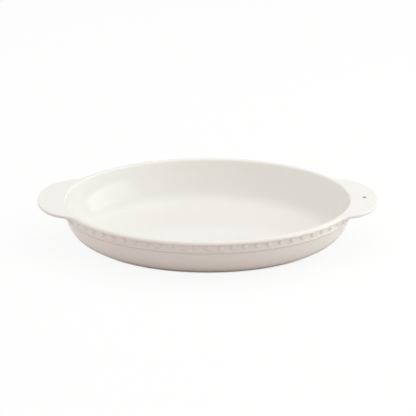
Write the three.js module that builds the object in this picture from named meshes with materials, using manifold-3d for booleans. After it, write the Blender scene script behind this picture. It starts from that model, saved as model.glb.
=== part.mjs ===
// Oval baking dish in glazed stoneware: a bowl with a rounded lip, two flat lugs, a beaded border
// under the lip and an unglazed foot ring. Millimetres, +Z up, the long axis along X.
// The origin is on the ground under the middle of the dish.
import * as THREE from "three";
import { mergeVertices } from "three/addons/utils/BufferGeometryUtils.js";
import Module from "manifold-3d";

const wasm = await Module();
wasm.setup();

// Overall sizes of the bowl, measured over the lip
const bowlLength = 347;
const bowlWidth = 241;
const bowlHeight = 55.6;

// Wall and floor
const wallThickness = 3.6; // at its thinnest, behind the floor's round
const floorThickness = 4.7;
const floorRound = 15; // soft corner between wall and floor, inside
const wallDraft = THREE.MathUtils.degToRad(7); // lean of the outside wall under the ridge
const wallStraight = 1.4; // straight run under the ridge before the wall curves in

// Lip
const lipWidth = 7;
const lipDepth = 4.3;
const lipOuterRound = 3.2;
const lipInnerRound = 2.4;
const lipUnderRound = 1;
const squareCorner = 0.25; // the lip's outer corner where a lug is joined to it

// Border under the lip: a channel for the beads, closed below by a ridge
const channelInset = 5.3;
const channelHeight = 8;
const ridgeHeight = 2.9;
const ridgeInset = 3.2;
const ridgeRound = 1;
const wallInset = 5; // the wall steps back by this much under the ridge

// Bead strips
const stripThickness = 0.9;
const beadPitch = 14; // about: the beads are spread evenly
const beadLength = 6.4;
const beadHeight = 5.8;
const beadProud = 1.6;
const beadRoot = 0.4; // how deep a bead is set into its strip

// Lugs
const lugProjection = 26.5; // from the end of the lip to the tip
const lugReach = 42; // half-axis of the lug's oval end along X
const lugWidth = 104;
const lugThickness = 4; // its top is level with the lip
const lugFillet = 8.5; // the hollow fillets widen the lug by this much on each side, at the lip
const lugFilletEnd = THREE.MathUtils.degToRad(75); // where a fillet joins the oval end
const lugFilletPull = 0.35; // how far a fillet follows the lip and the oval end, of its length
const lugRunOut = 0.3; // thickness left where a fillet runs out along the lip
const lugBlankDepth = 9; // how far a lug's blank reaches past the lip's line before it is trimmed
const lugEdgeRound = 1.9;
const pegHole = 5; // diameter
const pegHoleEdge = 0.7; // round at both ends of the hole
const pegHoleFromTip = 16;

// Foot ring, let into a rebate under the base
const footHeight = 4;
const footShows = 2.2; // how much of the foot is seen below the edge of the wall
const footWidth = 8;
const footTaper = 1.4; // the inner side leans by this much
const footRound = 1;

const slipJoint = 0.3; // the film of slip between two joined pieces of clay
const leastFlat = 0.1; // narrowest flat left between two rounds
const weldDistance = 0.001; // points of a surface closer than this are one point

// Facets: how many straight steps stand for each curve
const planSteps = 72;
const wallSteps = 7;
const floorSteps = 6;
const roundSteps = 2;
const lugSteps = 10;
const lugEdgeSteps = 3;
const holeSides = 20;
const beadSteps = 3;
const beadSides = 9;

// Sizes worked out from the ones above
const quarter = Math.PI / 2; // a quarter turn
const halfLength = bowlLength / 2;
const halfWidth = bowlWidth / 2;
const lipUnder = bowlHeight - lipDepth;
const channelFoot = lipUnder - channelHeight;
const ridgeFoot = channelFoot - ridgeHeight;
const baseUnder = footHeight + slipJoint;
const floorTop = baseUnder + floorThickness;
const lugUnder = bowlHeight - lugThickness;
const lugTip = halfLength + lugProjection;

// A round leaves some flat on the lip and on the lug's edge, however thin they are
const lipOuter = Math.min(
  lipOuterRound,
  lipWidth - lipInnerRound - leastFlat,
  lipDepth - lipUnderRound - leastFlat,
);
const lugEdge = Math.min(lugEdgeRound, (lugThickness - leastFlat) / 2);

// The outside of the wall is part of a circle that meets the ground
const outerRadius = (ridgeFoot - wallStraight) / (1 - Math.sin(wallDraft));
const wallCentre = new THREE.Vector2(
  -wallInset - wallStraight * Math.tan(wallDraft) - outerRadius * Math.cos(wallDraft),
  outerRadius,
);

// The wall's edge at the foot, from the lip's line
const footInset = -wallCentre.x - Math.sqrt(outerRadius ** 2 - (outerRadius - footShows) ** 2);

const rim = new THREE.EllipseCurve(0, 0, halfLength, halfWidth);

// A point of the plan at an angle of the rim, out from the rim's line (negative is inwards)
function planPoint(angle, out) {
  const normal = new THREE.Vector2(Math.cos(angle) / halfLength, Math.sin(angle) / halfWidth);
  normal.normalize();
  return new THREE.Vector2(
    halfLength * Math.cos(angle) + out * normal.x,
    halfWidth * Math.sin(angle) + out * normal.y,
  );
}

// All the angles of the plan, once around
const planAngles = Array.from({ length: planSteps }, (_, step) => (2 * Math.PI * step) / planSteps);

// Sweeps a section around the plan. Section points are (out from the rim's line, height).
// A "ring" closes on itself, a "strip" has two flat ends, and a "bowl" runs from the axis to the
// axis, with its first and last points carried on level to the middle.
function sweepPlan(sectionAt, angles, kind) {
  const positions = [];
  const faces = [];
  const count = sectionAt(angles[0]).length;
  for (const angle of angles) {
    for (const point of sectionAt(angle)) {
      const plan = planPoint(angle, point.x);
      positions.push(plan.x, plan.y, point.y);
    }
  }
  const turns = kind === "strip" ? angles.length - 1 : angles.length;
  const sides = kind === "bowl" ? count - 1 : count;
  for (let turn = 0; turn < turns; turn += 1) {
    const here = turn * count;
    const next = ((turn + 1) % angles.length) * count;
    for (let side = 0; side < sides; side += 1) {
      const after = (side + 1) % count;
      faces.push(here + side, next + after, next + side);
      faces.push(here + side, here + after, next + after);
    }
  }
  const section = sectionAt(angles[0]);
  if (kind === "bowl") {
    const first = positions.length / 3;
    positions.push(0, 0, section[0].y, 0, 0, section[count - 1].y);
    for (let turn = 0; turn < turns; turn += 1) {
      const here = turn * count;
      const next = ((turn + 1) % turns) * count;
      faces.push(first, here, next);
      faces.push(first + 1, next + count - 1, here + count - 1);
    }
  }
  if (kind === "strip") {
    const last = turns * count;
    for (const [a, b, c] of THREE.ShapeUtils.triangulateShape(section, [])) {
      faces.push(a, b, c);
      faces.push(last + a, last + c, last + b);
    }
  }
  const geometry = new THREE.BufferGeometry();
  geometry.setAttribute("position", new THREE.Float32BufferAttribute(positions, 3));
  geometry.setIndex(faces);
  return geometry;
}

// Points along a circle's arc, from one angle to another
function arc(x, y, radius, from, to, steps) {
  return new THREE.EllipseCurve(x, y, radius, radius, from, to, to < from).getPoints(steps);
}

// A closed geometry as a solid that can be joined and cut
function solidOf(geometry) {
  const bare = geometry.clone();
  bare.deleteAttribute("normal");
  bare.deleteAttribute("uv");
  const merged = mergeVertices(bare, weldDistance);
  const mesh = new wasm.Mesh({
    numProp: 3,
    vertProperties: new Float32Array(merged.attributes.position.array),
    triVerts: new Uint32Array(merged.index.array),
  });
  return new wasm.Manifold(mesh);
}

function geometryOf(solid) {
  const mesh = solid.getMesh();
  const geometry = new THREE.BufferGeometry();
  geometry.setAttribute("position", new THREE.BufferAttribute(mesh.vertProperties, 3));
  geometry.setIndex(new THREE.BufferAttribute(mesh.triVerts, 1));
  return geometry;
}

// Section of the bowl, from the floor out, up the inside, over the lip and down the outside
function bowlSection(outerRound) {
  // The floor's round touches the floor and leaves the wall its thickness
  const roundHeight = floorTop + floorRound;
  const roundDrop = wallCentre.y - roundHeight;
  const roundReach = outerRadius - wallThickness - floorRound;
  const roundOut = Math.sqrt(roundReach ** 2 - roundDrop ** 2);
  const roundCentre = new THREE.Vector2(wallCentre.x + roundOut, roundHeight);

  // The inside wall flares out straight from that round to the lip, tangent to both
  const lipCentre = new THREE.Vector2(lipInnerRound - lipWidth, bowlHeight - lipInnerRound);
  const across = roundCentre.clone().sub(lipCentre);
  const facing = across.angle() - Math.acos((floorRound + lipInnerRound) / across.length());

  const ridgeCentre = -ridgeInset - ridgeRound;
  const footMeets = Math.asin((-footInset - wallCentre.x) / outerRadius) - quarter;
  return [
    ...arc(roundCentre.x, roundCentre.y, floorRound, -quarter, facing - Math.PI, floorSteps),
    ...arc(lipCentre.x, lipCentre.y, lipInnerRound, facing, quarter, roundSteps),
    ...arc(-outerRound, bowlHeight - outerRound, outerRound, quarter, 0, roundSteps),
    ...arc(-lipUnderRound, lipUnder + lipUnderRound, lipUnderRound, 0, -quarter, roundSteps),
    new THREE.Vector2(-channelInset, lipUnder),
    new THREE.Vector2(-channelInset, channelFoot),
    ...arc(ridgeCentre, channelFoot - ridgeRound, ridgeRound, quarter, 0, roundSteps),
    ...arc(ridgeCentre, ridgeFoot + ridgeRound, ridgeRound, 0, -quarter, roundSteps),
    new THREE.Vector2(-wallInset, ridgeFoot),
    ...arc(wallCentre.x, wallCentre.y, outerRadius, -wallDraft, footMeets, wallSteps),
    new THREE.Vector2(-footInset, baseUnder),
  ];
}

// The lip is rounded along the sides and square where a lug is joined to it
const lugFullAngle = Math.asin(lugWidth / bowlWidth);
const lugRootAngle = Math.asin((lugWidth + 2 * lugFillet) / bowlWidth);

function dishBody() {
  const rounded = bowlSection(lipOuter);
  const square = bowlSection(squareCorner);
  const sectionAt = (angle) => {
    const fromEnd = Math.asin(Math.abs(Math.sin(angle)));
    const share = THREE.MathUtils.smoothstep(fromEnd, lugFullAngle, lugRootAngle);
    return square.map((point, index) => point.clone().lerp(rounded[index], share));
  };
  return sweepPlan(sectionAt, planAngles, "bowl");
}

function footRing() {
  const outer = -footInset - slipJoint;
  const inner = outer - footWidth;
  const section = [
    new THREE.Vector2(inner, footHeight),
    new THREE.Vector2(outer, footHeight),
    ...arc(outer - footRound, footRound, footRound, 0, -quarter, roundSteps),
    ...arc(inner + footTaper + footRound, footRound, footRound, -quarter, -Math.PI, roundSteps),
  ];
  return sweepPlan(() => section, planAngles, "ring");
}

// One bead: a flat-backed dome, facing out along Z
function beadGeometry() {
  const rise = beadRoot + beadProud;
  const dome = new THREE.EllipseCurve(0, -beadRoot, 1, rise, 0, quarter).getPoints(beadSteps);
  const bead = new THREE.LatheGeometry([new THREE.Vector2(0, -beadRoot), ...dome], beadSides);
  bead.rotateX(quarter);
  bead.scale(beadLength / 2, beadHeight / 2, 1);
  return bead;
}

// A strip of beads on the half of the rim whose middle is at middleAngle
function beadStrip(middleAngle) {
  const back = slipJoint - channelInset;
  const face = back + stripThickness;
  const top = lipUnder - slipJoint;
  const foot = channelFoot + slipJoint;
  const section = [
    new THREE.Vector2(back, top),
    new THREE.Vector2(face, top),
    new THREE.Vector2(face, foot),
    new THREE.Vector2(back, foot),
  ];

  // An odd number of beads, with one at the middle. The two strips meet under the lugs.
  const perimeter = rim.getLength();
  const halfPerimeter = perimeter / 2;
  const beads = 2 * Math.round((halfPerimeter / beadPitch - 1) / 2) + 1;
  const pitch = halfPerimeter / beads;
  const angleAlong = (length) => {
    const share = middleAngle / (2 * Math.PI) + length / perimeter;
    return 2 * Math.PI * rim.getUtoTmapping(share);
  };
  const firstAngle = angleAlong((slipJoint - halfPerimeter) / 2);
  const lastAngle = angleAlong((halfPerimeter - slipJoint) / 2);
  const between = planAngles.filter((angle) => angle > firstAngle && angle < lastAngle);
  let strip = solidOf(sweepPlan(() => section, [firstAngle, ...between, lastAngle], "strip"));

  const beadShape = beadGeometry();
  for (let index = 0; index < beads; index += 1) {
    const angle = angleAlong((index - (beads - 1) / 2) * pitch);
    const place = planPoint(angle, face);
    const facing = planPoint(angle, face + 1).sub(place).angle();
    const turn = new THREE.Matrix4().makeRotationZ(facing + quarter);
    const stand = new THREE.Matrix4().makeRotationX(quarter);
    const move = new THREE.Matrix4().makeTranslation(place.x, place.y, (top + foot) / 2);
    const bead = beadShape.clone().applyMatrix4(move.multiply(turn).multiply(stand));
    strip = strip.add(solidOf(bead));
  }
  return geometryOf(strip);
}

// Outline of a lug on the +X end: an oval end and two hollow fillets that run out along the lip
function lugOutline() {
  const middle = lugTip - lugReach;
  const root = planPoint(lugRootAngle, slipJoint + lugRunOut);
  const rootSlope = new THREE.Vector2(
    halfLength * Math.sin(lugRootAngle),
    -halfWidth * Math.cos(lugRootAngle),
  );
  const end = new THREE.Vector2(
    middle + lugReach * Math.cos(lugFilletEnd),
    (lugWidth / 2) * Math.sin(lugFilletEnd),
  );
  const endSlope = new THREE.Vector2(
    -lugReach * Math.sin(lugFilletEnd),
    (lugWidth / 2) * Math.cos(lugFilletEnd),
  );
  const pull = lugFilletPull * end.distanceTo(root);
  const leave = rootSlope.setLength(pull).add(root);
  const join = endSlope.setLength(pull).add(end);
  const inside = planPoint(lugRootAngle, -lugBlankDepth);

  const outline = new THREE.Shape();
  outline.moveTo(inside.x, -inside.y);
  outline.lineTo(root.x, -root.y);
  outline.bezierCurveTo(leave.x, -leave.y, join.x, -join.y, end.x, -end.y);
  outline.absellipse(middle, 0, lugReach, lugWidth / 2, -lugFilletEnd, lugFilletEnd, false);
  outline.bezierCurveTo(join.x, join.y, leave.x, leave.y, root.x, root.y);
  outline.lineTo(inside.x, inside.y);
  outline.closePath();
  return outline;
}

// A lug on the +X end, trimmed to the lip it is joined to
function lug() {
  const blank = new THREE.ExtrudeGeometry(lugOutline(), {
    depth: lugThickness - 2 * lugEdge,
    bevelThickness: lugEdge,
    bevelSize: lugEdge,
    bevelOffset: -lugEdge,
    bevelSegments: lugEdgeSteps,
    curveSegments: lugSteps,
  });
  blank.translate(0, 0, lugUnder + lugEdge);

  const lipSide = [
    new THREE.Vector2(slipJoint, bowlHeight + lugThickness),
    new THREE.Vector2(slipJoint, lugUnder - lugThickness),
  ];
  const bowlSpace = sweepPlan(() => lipSide, planAngles, "bowl");
  return solidOf(blank).subtract(solidOf(bowlSpace));
}

// The round hole through a lug, with its edges eased
function pegHoleSpace() {
  const radius = pegHole / 2;
  const mouth = radius + pegHoleEdge;
  const section = [
    new THREE.Vector2(0, lugUnder - lugThickness),
    new THREE.Vector2(mouth, lugUnder - lugThickness),
    ...arc(mouth, lugUnder + pegHoleEdge, pegHoleEdge, -quarter, -Math.PI, roundSteps),
    ...arc(mouth, bowlHeight - pegHoleEdge, pegHoleEdge, Math.PI, quarter, roundSteps),
    new THREE.Vector2(mouth, bowlHeight + lugThickness),
    new THREE.Vector2(0, bowlHeight + lugThickness),
  ];
  const space = new THREE.LatheGeometry(section, holeSides);
  space.rotateX(quarter);
  space.translate(lugTip - pegHoleFromTip, 0, 0);
  return solidOf(space);
}

const glaze = { color: 0xf1f0e8, roughness: 0.2, metalness: 0 };
const bareClay = { color: 0xd9cfbf, roughness: 0.85, metalness: 0 };

const dish = new THREE.Group();
dish.name = "oval_baking_dish";

function addPiece(name, geometry, finish) {
  const piece = new THREE.Mesh(geometry, new THREE.MeshStandardMaterial(finish));
  piece.name = name;
  piece.geometry.computeVertexNormals();
  dish.add(piece);
  return piece;
}

addPiece("dish_body", dishBody(), glaze);
addPiece("foot_ring", footRing(), bareClay);
addPiece("bead_strip_front", beadStrip(1.5 * Math.PI), glaze);
addPiece("bead_strip_back", beadStrip(0.5 * Math.PI), glaze);
addPiece("handle_right", geometryOf(lug().subtract(pegHoleSpace())), glaze);
addPiece("handle_left", geometryOf(lug()), glaze).rotateZ(Math.PI);

export default dish;
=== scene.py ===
import math

import bpy
import numpy as np
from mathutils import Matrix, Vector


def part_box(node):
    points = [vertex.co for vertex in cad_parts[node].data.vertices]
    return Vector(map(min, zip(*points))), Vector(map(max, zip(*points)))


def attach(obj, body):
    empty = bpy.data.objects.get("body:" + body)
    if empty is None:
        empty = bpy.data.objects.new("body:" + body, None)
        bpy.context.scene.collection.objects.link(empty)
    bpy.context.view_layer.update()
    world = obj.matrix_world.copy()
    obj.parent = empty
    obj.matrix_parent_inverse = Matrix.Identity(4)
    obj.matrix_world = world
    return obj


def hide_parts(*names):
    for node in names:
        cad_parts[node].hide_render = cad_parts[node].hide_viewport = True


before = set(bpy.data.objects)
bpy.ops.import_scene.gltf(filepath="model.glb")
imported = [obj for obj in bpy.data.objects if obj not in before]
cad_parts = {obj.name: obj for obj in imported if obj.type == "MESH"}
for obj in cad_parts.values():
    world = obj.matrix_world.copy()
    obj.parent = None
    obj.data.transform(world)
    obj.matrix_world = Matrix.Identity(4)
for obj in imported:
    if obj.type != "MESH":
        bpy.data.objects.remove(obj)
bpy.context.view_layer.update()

print("frame loaded:", ", ".join(sorted(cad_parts)))

mm = 0.001
sharpAngle = math.radians(50)  # a bend over this stays a crease in the shading


# Small helpers for sections. A section point is (out from the rim line, height), in mm.
def arcRun(out, height, radius, start, end, steps):
    turn = np.radians(np.linspace(start, end, steps + 1))
    return np.column_stack([out + radius * np.cos(turn), height + radius * np.sin(turn)])


def straightRun(start, end, steps):
    return np.linspace(start, end, steps + 2)[1:-1]  # without its two ends


def softStep(low, high, value):
    share = np.clip((value - low) / (high - low), 0, 1)
    return share * share * (3 - 2 * share)


# The bowl: an oval rim, a lip, a bead channel closed by a ridge, and a round wall down to the foot
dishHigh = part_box("dish_body")[1]
bowl = {
    "halfLength": dishHigh.x / mm,
    "halfWidth": dishHigh.y / mm,
    "height": dishHigh.z / mm,
    "wall": 3.6,  # behind the floor's round
    "floorTop": 9.0,
    "floorRound": 19.0,
    "insideHollow": 80.0,  # radius of the inside wall's slight hollow
    "wallLean": 7.0,  # degrees, under the ridge
    "wallStraight": 1.4,
    "wallInset": 5.0,
    "lipWidth": 7.0,
    "lipDepth": 4.3,
    "lipOuterRound": 3.2,
    "lipInnerRound": 2.4,
    "lipUnderRound": 1.0,
    "underBlend": (-1.0, 4.5),  # a lug's underside comes level with the lip's from here to here
    "channelInset": 5.3,
    "channelHeight": 8.0,
    "ridgeHeight": 2.9,
    "ridgeInset": 3.2,
    "ridgeRound": 1.1,
    "ridgeCove": 0.3,  # glaze fillet where the ridge meets the wall
    "footShows": 2.2,  # the wall ends this far above the table
    "footEdge": 0.6,  # round of the glazed edge over the bare foot
    "footLap": (0.35, 0.1),  # that edge stands out and up by these shares of its round
    "footTurn": (1.2, 4.0),  # degrees left free at the wall's end and the edge's start
    "baseUnder": 4.3,
    "columnStep": 2.4,  # mesh spacing along the sides
    "rimSamples": 14400,
    "floorRings": (0.06, 0.16, 0.28, 0.42, 0.56, 0.7, 0.82, 0.92),  # mesh rings, of the full size
    "baseRings": (0.93, 0.8, 0.6, 0.4, 0.2, 0.06),
}
lipUnder = bowl["height"] - bowl["lipDepth"]
channelFoot = lipUnder - bowl["channelHeight"]
ridgeFoot = channelFoot - bowl["ridgeHeight"]
wallRadius = (ridgeFoot - bowl["wallStraight"]) / (1 - math.sin(math.radians(bowl["wallLean"])))
wallMiddle = (
    -bowl["wallInset"]
    - bowl["wallStraight"] * math.tan(math.radians(bowl["wallLean"]))
    - wallRadius * math.cos(math.radians(bowl["wallLean"]))
)
footInset = -wallMiddle - math.sqrt(wallRadius**2 - (wallRadius - bowl["footShows"]) ** 2)

# Mesh steps along each stretch of the bowl's section
sectionSteps = {
    "floorRound": 14,
    "insideWall": 10,
    "lipInner": 7,
    "top": 12,
    "topRound": 7,
    "edge": 2,
    "underRound": 6,
    "underside": 14,
    "ridge": 6,
    "cove": 5,
    "outsideWall": 24,
    "footEdge": 5,
}

# The two flat lugs, level with the lip. The right one has a small peg hole.
lug = {
    "tip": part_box("handle_right")[1].x / mm,
    "reach": 42.0,  # half-axis of the oval end along the dish
    "width": 104.0,
    "fillet": 8.5,  # the hollow sides widen the lug by this much where they meet the lip
    "filletEnd": 75.0,  # degrees around the oval end
    "filletPull": 0.35,  # how far a hollow side follows the lip and the oval end, of its length
    "thickness": 4.0,
    "edgeRound": 1.3,
    "blend": 9.0,  # the lip's deeper edge turns into the lug's over this distance
    "outlineStep": 1.5,
    "outlineSamples": 200,
    "normalTries": 30,
    "holeAcross": 5.0,
    "holeEdge": 0.7,
    "holeFromTip": 16.0,
    "holeShade": 0.3,  # how dark the painted shade in the hole is, 0 to 1
    "holeSides": 48,
    "holeSteps": 6,
    "drillClear": 3.0,  # the drill stands this far out of the lug, above and below
}


def planPoints(angles, outs):
    # The rim ellipse at each angle, moved out along its normal
    across = np.cos(angles) / bowl["halfLength"]
    along = np.sin(angles) / bowl["halfWidth"]
    size = np.hypot(across, along)
    x = bowl["halfLength"] * np.cos(angles) + outs * across / size
    y = bowl["halfWidth"] * np.sin(angles) + outs * along / size
    return x, y


# Length along the rim for every angle, so that columns and beads can be spread evenly
rimAngles = np.linspace(0, 2 * math.pi, bowl["rimSamples"] + 1)
rimX, rimY = planPoints(rimAngles, 0 * rimAngles)
rimLengths = np.concatenate([[0], np.cumsum(np.hypot(np.diff(rimX), np.diff(rimY)))])


def lugOutline():
    # Half of a lug's outline: an oval end, then a hollow side that runs out into the lip
    middle = lug["tip"] - lug["reach"]
    halfAcross = lug["width"] / 2
    rootAngle = math.asin((halfAcross + lug["fillet"]) / bowl["halfWidth"])
    root = np.array(planPoints(np.array([rootAngle]), np.array([0.0])))[:, 0]
    rootWay = np.array(
        [bowl["halfLength"] * math.sin(rootAngle), -bowl["halfWidth"] * math.cos(rootAngle)]
    )
    endTurn = math.radians(lug["filletEnd"])
    end = np.array([middle + lug["reach"] * math.cos(endTurn), halfAcross * math.sin(endTurn)])
    endWay = np.array([-lug["reach"] * math.sin(endTurn), halfAcross * math.cos(endTurn)])
    pull = lug["filletPull"] * np.linalg.norm(end - root)
    leave = root + rootWay * pull / np.linalg.norm(rootWay)
    join = end + endWay * pull / np.linalg.norm(endWay)

    turn = np.linspace(0, endTurn, lug["outlineSamples"])
    oval = np.column_stack([middle + lug["reach"] * np.cos(turn), halfAcross * np.sin(turn)])
    share = np.linspace(0, 1, lug["outlineSamples"])[1:, None]
    rest = 1 - share
    hollow = (
        rest**3 * end + 3 * rest**2 * share * join + 3 * rest * share**2 * leave + share**3 * root
    )
    return np.vstack([oval, hollow])


def lugColumns():
    # Even steps along half of a lug's outline, each as (angle of the rim, reach out from the rim)
    outline = lugOutline()
    lengths = np.concatenate([[0], np.cumsum(np.linalg.norm(np.diff(outline, axis=0), axis=1))])
    steps = round(lengths[-1] / lug["outlineStep"])
    places = np.linspace(0, lengths[-1], steps + 1)
    px = np.interp(places, lengths, outline[:, 0])
    py = np.interp(places, lengths, outline[:, 1])

    # The rim point whose normal runs through each outline point
    angles = np.arctan2(py / bowl["halfWidth"], px / bowl["halfLength"])
    for _ in range(lug["normalTries"]):
        gapX = px - bowl["halfLength"] * np.cos(angles)
        gapY = py - bowl["halfWidth"] * np.sin(angles)
        wayX = -bowl["halfLength"] * np.sin(angles)
        wayY = bowl["halfWidth"] * np.cos(angles)
        miss = gapX * wayX + gapY * wayY
        slope = -(wayX**2 + wayY**2) - gapX * bowl["halfLength"] * np.cos(angles)
        slope -= gapY * bowl["halfWidth"] * np.sin(angles)
        angles = angles - miss / slope
    rx, ry = planPoints(angles, 0 * angles)
    return angles, np.hypot(px - rx, py - ry)


def rimColumns():
    # Columns once around: right lug, back, left lug, front, and the right lug again
    lugAngles, lugReaches = lugColumns()
    rootLength = np.interp(lugAngles[-1], rimAngles, rimLengths)
    halfTurn = rimLengths[-1] / 2
    steps = round((halfTurn - 2 * rootLength) / bowl["columnStep"])
    places = np.linspace(rootLength, halfTurn - rootLength, steps + 1)[1:-1]
    sideAngles = np.interp(places, rimLengths, rimAngles)
    half = np.concatenate([lugAngles, sideAngles, math.pi - lugAngles[::-1]])
    reach = np.concatenate([lugReaches, 0 * sideAngles, lugReaches[::-1]])
    angles = np.concatenate([half, math.pi + half[1:-1]])
    return angles, np.concatenate([reach, reach[1:-1]])


def insideSection():
    # Floor round, slightly hollow wall and the lip's inner round, each tangent to the next
    roundHeight = bowl["floorTop"] + bowl["floorRound"]
    drop = wallRadius - roundHeight
    spare = wallRadius - bowl["wall"] - bowl["floorRound"]
    floorAt = np.array([wallMiddle + math.sqrt(spare**2 - drop**2), roundHeight])
    lipAt = np.array([
        bowl["lipInnerRound"] - bowl["lipWidth"], bowl["height"] - bowl["lipInnerRound"],
    ])
    # The hollow's centre lies at a known distance from the centres of both rounds
    hollow = bowl["insideHollow"]
    fromFloor, fromLip = hollow - bowl["floorRound"], hollow + bowl["lipInnerRound"]
    apart = np.linalg.norm(lipAt - floorAt)
    along = (lipAt - floorAt) / apart
    share = (fromFloor**2 - fromLip**2 + apart**2) / (2 * apart)
    across = np.array([-along[1], along[0]]) * math.sqrt(fromFloor**2 - share**2)
    middle = floorAt + along * share + across
    begins = math.degrees(math.atan2(*(floorAt - middle)[::-1]))
    ends = math.degrees(math.atan2(*(lipAt - middle)[::-1]))
    floor = arcRun(*floorAt, bowl["floorRound"], -90, begins, sectionSteps["floorRound"])
    wall = arcRun(*middle, hollow, begins, ends, sectionSteps["insideWall"])[1:-1]
    lip = arcRun(*lipAt, bowl["lipInnerRound"], ends + 180, 90, sectionSteps["lipInner"])
    return np.vstack([floor, wall, lip])


def edgeSection(reach, depth, topRound, underRound):
    # The lip's or a lug's outer edge: along the top, round the edge and back underneath
    top = bowl["height"]
    under = top - depth
    steps = sectionSteps
    topArc = arcRun(reach - topRound, top - topRound, topRound, 90, 0, steps["topRound"])
    underArc = arcRun(
        reach - underRound, under + underRound, underRound, 0, -90, steps["underRound"]
    )
    inner = np.array([bowl["lipInnerRound"] - bowl["lipWidth"], top])
    foot = np.array([-bowl["channelInset"], under])
    below = straightRun(underArc[-1], foot, steps["underside"])
    below[:, 1] += (lipUnder - under) * (1 - softStep(*bowl["underBlend"], below[:, 0]))
    return np.vstack([
        straightRun(inner, topArc[0], steps["top"]),
        topArc,
        straightRun(topArc[-1], underArc[0], steps["edge"]),
        underArc,
        below,
    ])


def outsideSection():
    # Channel, ridge, the round wall, and the glazed edge over the foot
    inset = -bowl["channelInset"]
    ridgeRound, cove, edge = bowl["ridgeRound"], bowl["ridgeCove"], bowl["footEdge"]
    ridgeOut = -bowl["ridgeInset"] - ridgeRound
    lean = bowl["wallLean"]
    start = wallMiddle + wallRadius * math.cos(math.radians(lean))
    begins = wallRadius - wallRadius * math.sin(math.radians(lean))
    ends = -90 + math.degrees(math.asin((-footInset - wallMiddle) / wallRadius))
    footAngle = math.radians(ends)
    lapOut, lapUp = bowl["footLap"]
    wallShort, edgeShort = bowl["footTurn"]
    edgeOut = wallMiddle + (wallRadius - edge) * math.cos(footAngle) + lapOut * edge
    edgeHeight = wallRadius + (wallRadius - edge) * math.sin(footAngle) + lapUp * edge
    steps = sectionSteps
    wall = arcRun(
        wallMiddle, wallRadius, wallRadius, -lean, ends + wallShort, steps["outsideWall"]
    )
    return np.vstack([
        [[inset, lipUnder], [inset, channelFoot]],
        arcRun(ridgeOut, channelFoot - ridgeRound, ridgeRound, 90, 0, steps["ridge"]),
        arcRun(ridgeOut, ridgeFoot + ridgeRound, ridgeRound, 0, -90, steps["ridge"]),
        arcRun(-bowl["wallInset"] + cove, ridgeFoot - cove, cove, 90, 180, steps["cove"]),
        [[start, begins]],
        wall[1:],
        arcRun(edgeOut, edgeHeight, edge, ends - edgeShort, -180, steps["footEdge"]),
        [[edgeOut - edge, bowl["baseUnder"]]],
    ])


def gridPoints(x, y, levels):
    # Columns of points that all have the same levels
    return np.stack([x, y, np.broadcast_to(levels[None, :], x.shape)], axis=-1).reshape(-1, 3)


def gridFaces(columns, rows, aroundColumns=True, aroundRows=True):
    # Quads between neighbouring columns of points, closed in a ring either way
    faces = []
    for column in range(columns if aroundColumns else columns - 1):
        here, there = column * rows, (column + 1) % columns * rows
        for row in range(rows if aroundRows else rows - 1):
            after = (row + 1) % rows
            faces.append([here + row, there + row, there + after, here + after])
    return faces


def meshPiece(name, points, faces):
    made = bpy.data.meshes.new(name)
    made.from_pydata((np.asarray(points) * mm).tolist(), [], faces)
    made.validate()
    made.shade_smooth()
    made.set_sharp_from_angle(angle=sharpAngle)
    piece = bpy.data.objects.new(name, made)
    bpy.context.scene.collection.objects.link(piece)
    return piece


# Glaze runs thin over edges that stand out. Hollows get a darker colour: partly glaze pooling,
# mostly painted shade in the creases
glazeFlowAndShade = {
    "leastSpan": 0.2,  # mm, so that the closest mesh points don't count as edges
    "thinPerBend": 1.6,
    "pooledShadePerBend": 5.0,
    "pooledShadeFrom": 0.5,
    "ridgeShadowSpan": (0.5, 1.9),  # mm under the ridge over which the painted shadow below it fades out
    "ridgeShadowSlack": 0.05,  # mm
}


def glazeThinAndShade(sections):
    # How thin the glaze is at each point of the sections, and how much painted shade (partly glaze
    # pooling) its hollows get, both 0 to 1
    before = sections - np.roll(sections, 1, axis=1)
    after = np.roll(sections, -1, axis=1) - sections
    cross = before[..., 0] * after[..., 1] - before[..., 1] * after[..., 0]
    dots = (before * after).sum(-1)
    span = (np.linalg.norm(before, axis=-1) + np.linalg.norm(after, axis=-1)) / 2
    bend = np.arctan2(cross, dots) / np.maximum(span, glazeFlowAndShade["leastSpan"])  # hollow is positive
    bend[:, 0] = bend[:, -1] = 0
    thin = np.clip(-glazeFlowAndShade["thinPerBend"] * bend, 0, 1)
    gathered = np.clip(glazeFlowAndShade["pooledShadePerBend"] * bend - glazeFlowAndShade["pooledShadeFrom"], 0, 1)
    return thin, gathered


def storeCover(piece, thin, gathered):
    for name, values in (("glazeThin", thin), ("glazeGathered", gathered)):
        layer = piece.data.attributes.new(name, "FLOAT", "POINT")
        layer.data.foreach_set("value", np.asarray(values, dtype=np.float32).ravel())


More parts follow.
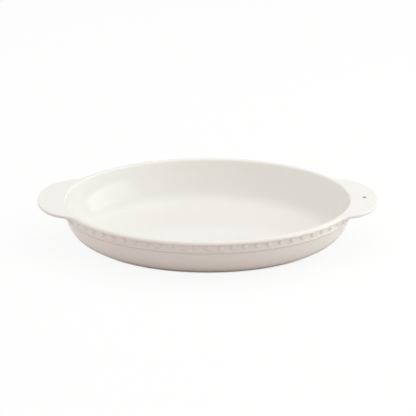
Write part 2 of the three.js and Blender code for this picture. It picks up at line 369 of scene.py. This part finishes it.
def glazedDish():
    angles, reaches = rimColumns()
    inside, outside = insideSection(), outsideSection()
    sections = []
    for reach in reaches:
        share = softStep(0, lug["blend"], reach)
        lip = edgeSection(reach, bowl["lipDepth"], bowl["lipOuterRound"], bowl["lipUnderRound"])
        flat = edgeSection(reach, lug["thickness"], lug["edgeRound"], lug["edgeRound"])
        sections.append(np.vstack([inside, lip + (flat - lip) * share, outside]))
    sections = np.array(sections)
    thin, gathered = glazeThinAndShade(sections)
    # Painted shadow: a dark band just under the ridge, where its overhang shades the wall
    below = ridgeFoot - sections[:, -len(outside):, 1]
    ridgeShadowFade = 1 - softStep(*glazeFlowAndShade["ridgeShadowSpan"], below)
    ridgeShadow = np.where(below > -glazeFlowAndShade["ridgeShadowSlack"], ridgeShadowFade, 0)
    gathered[:, -len(outside):] = np.maximum(gathered[:, -len(outside):], ridgeShadow)

    # The floor and the base repeat the section's two ends in smaller and smaller rings
    x, y = planPoints(angles[:, None], sections[..., 0])
    skin = np.stack([x, y, sections[..., 1]], axis=-1)
    floor = [skin[:, 0] * np.array([share, share, 1]) for share in bowl["floorRings"]]
    base = [skin[:, -1] * np.array([share, share, 1]) for share in bowl["baseRings"]]
    skin = np.concatenate([np.stack(floor, axis=1), skin, np.stack(base, axis=1)], axis=1)
    flatFloor, flatBase = np.zeros((len(angles), len(floor))), np.zeros((len(angles), len(base)))
    thin = np.concatenate([flatFloor, thin, flatBase], axis=1)
    gathered = np.concatenate([flatFloor, gathered, flatBase], axis=1)

    columns, rows = skin.shape[:2]
    here = np.arange(columns)[:, None] * rows + np.arange(rows - 1)[None, :]
    there = np.roll(np.arange(columns), -1)[:, None] * rows + np.arange(rows - 1)[None, :]
    faces = np.stack([here, here + 1, there + 1, there], axis=-1).reshape(-1, 4).tolist()
    middles = [[0, 0, bowl["floorTop"]], [0, 0, bowl["baseUnder"]]]
    points = np.vstack([skin.reshape(-1, 3), middles])
    floorMiddle, baseMiddle = columns * rows, columns * rows + 1
    for column in range(columns):
        after = (column + 1) % columns
        faces.append([floorMiddle, column * rows, after * rows])
        faces.append([baseMiddle, after * rows + rows - 1, column * rows + rows - 1])
    piece = meshPiece("glazed_dish", points, faces)
    plain = np.zeros(len(middles))
    thin, gathered = (np.concatenate([cover.ravel(), plain]) for cover in (thin, gathered))
    storeCover(piece, thin, gathered)
    return piece


def cutPegHole(piece):
    # A round hole with eased edges, drilled before firing
    radius, edge = lug["holeAcross"] / 2, lug["holeEdge"]
    top, under = bowl["height"], bowl["height"] - lug["thickness"]
    clear, steps, sides = lug["drillClear"], lug["holeSteps"], lug["holeSides"]
    section = np.vstack([
        [[radius + edge, under - clear]],
        arcRun(radius + edge, under + edge, edge, 270, 180, steps),
        arcRun(radius + edge, top - edge, edge, 180, 90, steps),
        [[radius + edge, top + clear]],
    ])
    middle = lug["tip"] - lug["holeFromTip"]
    turn = (np.arange(sides) + 0.5) * 2 * math.pi / sides  # half a side off the lug's own edges
    x = middle + section[None, :, 0] * np.cos(turn)[:, None]
    y = section[None, :, 0] * np.sin(turn)[:, None]
    rows = len(section)
    faces = gridFaces(sides, rows, aroundRows=False)
    faces.append([side * rows for side in reversed(range(sides))])
    faces.append([side * rows + rows - 1 for side in range(sides)])
    drill = meshPiece("peg_drill", gridPoints(x, y, section[:, 1]), faces)
    cut = piece.modifiers.new("pegHole", "BOOLEAN")
    cut.operation = "DIFFERENCE"
    cut.solver = "EXACT"
    cut.object = drill
    drilled = piece.evaluated_get(bpy.context.evaluated_depsgraph_get())
    shape = bpy.data.meshes.new_from_object(drilled)
    piece.modifiers.clear()
    piece.data = shape
    bpy.data.objects.remove(drill)
    shape.set_sharp_from_angle(angle=sharpAngle)
    # Painted shade in the bore: the darker hollow colour, fading out over the eased edge
    gathered = shape.attributes["glazeGathered"].data
    for point, cover in zip(shape.vertices, gathered):
        fromMiddle = math.hypot(point.co.x / mm - middle, point.co.y / mm)
        if fromMiddle < radius + edge:
            cover.value = lug["holeShade"] * (1 - softStep(0, edge, fromMiddle - radius))


# The beaded border: two strips of beads pressed on to the channel, front and back
border = {
    "face": -4.1,  # the ground between the beads, from the rim line
    "beads": 33,
    "beadLength": 6.6,
    "beadHeight": 6.0,
    "beadProud": 1.6,
    "beadDome": 2.4,  # higher is a flatter crown with steeper sides
    "beadSoftness": 5.0,  # higher is a crisper foot to each bead
    "cove": 0.9,  # glaze fillet along the lip and the ridge
    "sunk": 0.15,  # the strip's edges and back go this far into the bowl
    "endGap": 0.05,  # between a strip's end and the middle of the lug
    "crownFrom": 0.55,  # the glaze thins on a bead above this share of its rise
    "crownThin": 1.6,
    "shadeRingAt": 1.12,  # a ring of painted shade just outside each bead, in bead sizes
    "shadeRingWidth": 0.2,
    "shadeRingDepth": 0.3,
    "columnsPerBead": 20,
    "rows": 22,
}


def beadBorder(name, middleAngle):
    halfTurn = rimLengths[-1] / 2
    pitch = halfTurn / border["beads"]
    columns = border["beads"] * border["columnsPerBead"] + 1
    along = np.linspace(-halfTurn / 2, halfTurn / 2, columns)
    along[[0, -1]] *= 1 - 2 * border["endGap"] / halfTurn
    middle = np.interp(middleAngle, rimAngles, rimLengths)
    angles = np.interp((along + middle) % rimLengths[-1], rimLengths, rimAngles)

    low, high = channelFoot - border["sunk"], lipUnder + border["sunk"]
    heights = np.linspace(low, high, border["rows"])
    fromMiddle = (along / pitch + 0.5) % 1 - 0.5
    spread = np.hypot(
        (fromMiddle * pitch / (border["beadLength"] / 2))[:, None],
        ((heights - (low + high) / 2) / (border["beadHeight"] / 2))[None, :],
    )
    soft, proud, cove = border["beadSoftness"], border["beadProud"], border["cove"]
    rise = np.logaddexp(0, soft * proud * (1 - spread ** border["beadDome"])) / soft
    fromEdge = np.clip(np.minimum(heights - channelFoot, lipUnder - heights), 0, cove)
    fillet = cove - np.sqrt(cove**2 - (cove - fromEdge) ** 2)
    outs = border["face"] + np.maximum(rise, fillet[None, :])

    back = np.full((columns, 2), -bowl["channelInset"] - border["sunk"])
    outs = np.concatenate([outs, back], axis=1)
    levels = np.concatenate([heights, [high, low]])
    x, y = planPoints(angles[:, None], outs)
    rows = len(levels)
    faces = gridFaces(columns, rows, aroundColumns=False)
    faces.append(list(range(rows)))
    faces.append([(columns - 1) * rows + row for row in reversed(range(rows))])
    piece = meshPiece(name, gridPoints(x, y, levels), faces)

    crown = np.clip(rise / proud - border["crownFrom"], 0, 1) * border["crownThin"]
    # Painted shade: a dark ring round each bead's foot and a dark band under the lip's overhang
    fromShadeRing = np.abs(spread - border["shadeRingAt"])
    beadShade = border["shadeRingDepth"] * np.clip(1 - fromShadeRing / border["shadeRingWidth"], 0, 1)
    underLipShade = np.clip(1 - (lipUnder - heights) / cove, 0, 1)
    beadShade = np.maximum(beadShade, underLipShade[None, :])
    plain = np.zeros((columns, 2))
    crown, beadShade = (np.concatenate([cover, plain], axis=1) for cover in (crown, beadShade))
    storeCover(piece, crown, beadShade)
    return piece


# The foot: a ring of bare clay that was wiped clean of glaze before firing
foot = {
    "width": 8.0,
    "taper": 1.4,
    "round": 1.0,
    "roundSteps": 6,
    "top": 4.35,
    "gap": 0.02,  # from the wall's glazed edge
    "columnStep": 2.4,
}


def bareFoot():
    outer = -footInset - foot["gap"]
    inner = outer - foot["width"]
    edge, steps = foot["round"], foot["roundSteps"]
    section = np.vstack([
        arcRun(outer - edge, edge, edge, -90, 0, steps),
        [[outer, foot["top"]], [inner, foot["top"]]],
        arcRun(inner + foot["taper"] + edge, edge, edge, 180, 270, steps),
    ])
    columns, rows = round(rimLengths[-1] / foot["columnStep"]), len(section)
    places = np.arange(columns) * rimLengths[-1] / columns
    angles = np.interp(places, rimLengths, rimAngles)
    x, y = planPoints(angles[:, None], np.broadcast_to(section[None, :, 0], (columns, rows)))
    return meshPiece("bare_foot", gridPoints(x, y, section[:, 1]), gridFaces(columns, rows))


dish = glazedDish()
cutPegHole(dish)
beadsFront = beadBorder("bead_border_front", 1.5 * math.pi)
beadsBack = beadBorder("bead_border_back", 0.5 * math.pi)
footRing = bareFoot()
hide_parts("dish_body", "handle_left", "handle_right")
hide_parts("bead_strip_front")
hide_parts("bead_strip_back")
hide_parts("foot_ring")
for piece in (dish, beadsFront, beadsBack, footRing):
    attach(piece, "root")
    evened = piece.modifiers.new("evenShading", "WEIGHTED_NORMAL")
    evened.keep_sharp = True
    print("made", piece.name, len(piece.data.polygons), "faces")


# Small helpers for node materials
def linear(hexColour):
    parts = [int(hexColour[place:place + 2], 16) / 255 for place in (1, 3, 5)]
    curve = lambda part: part / 12.92 if part <= 0.04045 else ((part + 0.055) / 1.055) ** 2.4
    return [curve(part) for part in parts] + [1]


def addNode(tree, kind, inputs, **settings):
    made = tree.nodes.new(kind)
    for name, value in settings.items():
        setattr(made, name, value)
    for place, value in inputs.items():
        if isinstance(value, bpy.types.NodeSocket):
            tree.links.new(value, made.inputs[place])
        else:
            made.inputs[place].default_value = value
    return made


def noise(tree, place, sizeMm, detail):
    scale = 1000 / sizeMm
    inputs = {"Vector": place, "Scale": scale, "Detail": detail}
    return addNode(tree, "ShaderNodeTexNoise", inputs).outputs["Fac"]


def mathNode(tree, operation, *values):
    return addNode(tree, "ShaderNodeMath", dict(enumerate(values)), operation=operation).outputs[0]


def mixColours(tree, share, first, second):
    inputs = {"Factor": share, 6: first, 7: second}  # 6 and 7 are the node's colour inputs
    return addNode(tree, "ShaderNodeMix", inputs, data_type="RGBA").outputs[2]


def mixShaders(tree, share, first, second):
    return addNode(tree, "ShaderNodeMixShader", {0: share, 1: first, 2: second}).outputs[0]


def mapRange(tree, value, taken, given):
    inputs = {"Value": value, 1: taken[0], 2: taken[1], 3: given[0], 4: given[1]}
    return addNode(tree, "ShaderNodeMapRange", inputs).outputs[0]


def newMaterial(name):
    made = bpy.data.materials.new(name)
    made.use_nodes = True
    tree = made.node_tree
    place = addNode(tree, "ShaderNodeTexCoord", {}).outputs["Object"]
    return made, tree, tree.nodes["Principled BSDF"], place


def setSurface(tree, shader, colour, rough, height, bumpMm):
    inputs = {"Height": height, "Strength": 1.0, "Distance": bumpMm * mm}
    bump = addNode(tree, "ShaderNodeBump", inputs)
    tree.links.new(colour, shader.inputs["Base Color"])
    tree.links.new(rough, shader.inputs["Roughness"])
    tree.links.new(bump.outputs[0], shader.inputs["Normal"])


noiseSpread = (0.3, 0.7)  # most of a noise's values lie between these

# Fired white stoneware glaze: a glassy warm white skin. It gives the eye soft window reflections
# that waver a little, a faintly buff tone where it runs thin on edges, and a darker, browner one
# in hollows: partly glaze pooling, mostly painted shade.
glazeLook = {
    "colour": "#F1F1EC",
    "drift": "#EEEDE7",  # slow change of tone over the surface
    "driftMm": 60,
    "thinColour": "#F0ECE3",
    "thinShare": 0.5,
    # painted shade: the darker, browner colour for hollows, partly glaze pooling
    "gatheredColour": "#CFC3BA",
    "gatheredShare": 0.75,
    "roughness": (0.05, 0.1),
    "roughnessMm": 18,
    "waveMm": 22,
    "peelMm": 2.6,
    "peelShare": 0.06,  # height of the fine ripple, of the wave's
    "bumpMm": 0.05,
    "ior": 1.5,
}


def stonewareGlaze(look):
    made, tree, shader, place = newMaterial("glazed_white_stoneware")
    slow = noise(tree, place, look["driftMm"], 2.0)
    colour = mixColours(tree, slow, linear(look["colour"]), linear(look["drift"]))
    for layer in ("thin", "gathered"):
        cover = addNode(tree, "ShaderNodeAttribute", {}, attribute_name="glaze" + layer.title())
        share = mathNode(tree, "MULTIPLY", cover.outputs["Fac"], look[layer + "Share"])
        colour = mixColours(tree, share, colour, linear(look[layer + "Colour"]))
    sheen = noise(tree, place, look["roughnessMm"], 3.0)
    rough = mapRange(tree, sheen, noiseSpread, look["roughness"])
    wave = noise(tree, place, look["waveMm"], 1.0)
    peel = noise(tree, place, look["peelMm"], 1.0)
    height = mathNode(tree, "MULTIPLY_ADD", peel, look["peelShare"], wave)
    setSurface(tree, shader, colour, rough, height, look["bumpMm"])
    shader.inputs["IOR"].default_value = look["ior"]
    return made


# Bare fired stoneware: dry buff clay with fine sand in it. It gives the eye a matt, mottled ring
# with darker specks under the glossy bowl.
clayLook = {
    "colour": "#D9CFBF",
    "dark": "#C4B7A3",
    "grogColour": "#A89880",
    "mottleMm": 6,
    "gritMm": 0.9,  # real grit is finer: drawn coarser so that it shows
    "gritRange": (0.62, 0.72),  # the noise's values over which a speck fades in
    "gritShare": 0.7,
    "bumpMm": 0.12,
    "roughness": (0.78, 0.92),
}


def bareStoneware(look):
    made, tree, shader, place = newMaterial("unglazed_stoneware")
    mottle = noise(tree, place, look["mottleMm"], 4.0)
    grit = noise(tree, place, look["gritMm"], 2.0)
    tone = mixColours(tree, mottle, linear(look["colour"]), linear(look["dark"]))
    fleck = mapRange(tree, grit, look["gritRange"], (0.0, look["gritShare"]))
    colour = mixColours(tree, fleck, tone, linear(look["grogColour"]))
    rough = mapRange(tree, mottle, noiseSpread, look["roughness"])
    setSurface(tree, shader, colour, rough, grit, look["bumpMm"])
    return made


glaze = stonewareGlaze(glazeLook)
clay = bareStoneware(clayLook)
for piece in (dish, beadsFront, beadsBack):
    piece.data.materials.clear()
    piece.data.materials.append(glaze)
footRing.data.materials.append(clay)
print("materials:", glaze.name, clay.name)


def seenItself(tree):
    # 1 where the camera sees a surface, also mirrored or through glass, and 0 for its light
    ray = addNode(tree, "ShaderNodeLightPath", {})
    seen = mathNode(tree, "MAXIMUM", ray.outputs["Is Camera Ray"], ray.outputs["Is Glossy Ray"])
    return mathNode(tree, "MAXIMUM", seen, ray.outputs["Is Transmission Ray"])


# A plain pale table top. The eye sees it as white with the dish's shadow on it.
table = {
    "side": 9.0,  # metres
    "colour": "#FAFAF8",
    "bounce": "#C9BAB4",  # what it gives back to the dish
    "whiteShare": 0.9,
    "contactMm": 2,  # width of the dish's contact shadow
    "mirroredMm": 18,  # and of the shade that the dish's own glaze mirrors
    "mirroredDepth": 2.0,
}


def paleTable(look):
    half = look["side"] / 2
    corners = [(-half, -half, 0), (half, -half, 0), (half, half, 0), (-half, half, 0)]
    made = bpy.data.meshes.new("table_top")
    made.from_pydata(corners, [], [(0, 1, 2, 3)])
    piece = bpy.data.objects.new("table_top", made)
    bpy.context.scene.collection.objects.link(piece)
    paint = bpy.data.materials.new("pale_table_paint")
    paint.use_nodes = True
    tree = paint.node_tree
    tree.nodes.clear()
    dull = addNode(tree, "ShaderNodeBsdfDiffuse", {"Color": linear(look["bounce"])})
    pale = addNode(tree, "ShaderNodeBsdfDiffuse", {"Color": linear(look["colour"])})
    white = addNode(tree, "ShaderNodeEmission", {"Color": (1, 1, 1, 1), "Strength": 1.0})
    near, wide = (
        addNode(tree, "ShaderNodeAmbientOcclusion", {"Distance": look[reach] * mm}).outputs["AO"]
        for reach in ("contactMm", "mirroredMm")
    )
    wide = mathNode(tree, "POWER", wide, look["mirroredDepth"])
    byCamera = addNode(tree, "ShaderNodeLightPath", {}).outputs["Is Camera Ray"]
    clear = addNode(tree, "ShaderNodeMix", {"Factor": byCamera, 2: wide, 3: near}).outputs[0]
    clear = mathNode(tree, "MULTIPLY", clear, look["whiteShare"])
    shown = mixShaders(tree, clear, pale.outputs[0], white.outputs[0])
    either = mixShaders(tree, seenItself(tree), dull.outputs[0], shown)
    addNode(tree, "ShaderNodeOutputMaterial", {"Surface": either})
    made.materials.append(paint)


# Soft studio light. Each lamp is (name, place, aim, width, height, watts, colour); metres.
# The glaze mirrors only the panel and the window; the fills are hidden from its reflections.
lamps = [
    ("overhead_fill", (0.3, 0.25, 2.2), (0, 0, 0.05), 2.2, 2.2, 19.5, (0.888, 1, 0.985)),
    ("right_high_fill", (1.5, -0.1, 1.8), (0, 0, 0.05), 1.4, 1.2, 5.3, (0.93, 1, 1)),
    ("left_high_fill", (-1.4, -0.6, 1.7), (0, 0, 0.05), 1.2, 1.0, 2.0, (0.92, 1, 1)),
    ("right_panel", (1.69, -0.41, 0.8), (0.09, 0.16, 0.8), 1.85, 1.5, 9.1, (0.9, 1, 1)),
    ("right_window", (1.8, -0.06, 0.7), (0.2, 0.51, 0.7), 0.9, 1.1, 2.3, (0.9, 1, 1)),
    ("low_right_fill", (1.8, -0.65, 0.16), (0, 0, 0.05), 1.6, 0.26, 4.2, (0.9, 1, 1)),
    ("low_left_fill", (-1.9, -0.5, 0.32), (0, 0, 0.05), 1.8, 0.5, 7.0, (0.95, 0.98, 1)),
]
sky = {"strength": 0.57, "colour": "#FFF1F1"}


def studioLamps():
    for name, spot, aim, width, height, watts, colour in lamps:
        lamp = bpy.data.lights.new(name, "AREA")
        lamp.shape = "RECTANGLE"
        lamp.size, lamp.size_y = width, height
        lamp.energy = watts
        lamp.color = colour
        holder = bpy.data.objects.new(name, lamp)
        bpy.context.scene.collection.objects.link(holder)
        holder.location = spot
        holder.visible_glossy = not name.endswith("fill")
        way = np.array(aim, float) - np.array(spot, float)
        way /= np.linalg.norm(way)
        holder.rotation_mode = "XYZ"
        holder.rotation_euler = (math.acos(-way[2]), 0, math.atan2(way[1], way[0]) - math.pi / 2)


def whiteWorld(look):
    # White to look at, with a fainter, warmer light on the dish
    world = bpy.data.worlds.new("white_studio")
    bpy.context.scene.world = world
    world.use_nodes = True
    tree = world.node_tree
    tree.nodes.clear()
    kind = "ShaderNodeBackground"
    fill = addNode(tree, kind, {"Color": linear(look["colour"]), "Strength": look["strength"]})
    white = addNode(tree, kind, {"Color": (1, 1, 1, 1), "Strength": 1.0})
    either = mixShaders(tree, seenItself(tree), fill.outputs[0], white.outputs[0])
    addNode(tree, "ShaderNodeOutputWorld", {"Surface": either})


paleTable(table)
studioLamps()
whiteWorld(sky)
print("table and", len(lamps), "lamps")


# The photograph's camera: a long lens, a little above the table
shot = {
    "distance": 1.7,  # metres
    "elevation": 26.29,
    "focalPixels": 1425.0,
    "imageSide": 416,
    "middleAt": (207.69, 239.54),  # where the middle of the dish's foot falls in the image
    "sensor": 36.0,
    "clip": (0.05, 50),
}


def photoCamera(look):
    rise = math.radians(look["elevation"])
    half = look["imageSide"] / 2
    pitch = math.atan((look["middleAt"][1] - half) / look["focalPixels"])
    turn = math.atan((look["middleAt"][0] - half) / look["focalPixels"])
    camera = bpy.data.cameras.new("photo_camera")
    camera.sensor_width = look["sensor"]
    camera.lens = look["focalPixels"] * look["sensor"] / look["imageSide"]
    camera.clip_start, camera.clip_end = look["clip"]
    holder = bpy.data.objects.new("photo_camera", camera)
    bpy.context.scene.collection.objects.link(holder)
    holder.location = (0, -look["distance"] * math.cos(rise), look["distance"] * math.sin(rise))
    holder.rotation_euler = (math.pi / 2 - rise + pitch, 0, turn)
    bpy.context.scene.camera = holder


photoCamera(shot)
bpy.context.scene.view_settings.view_transform = "Standard"
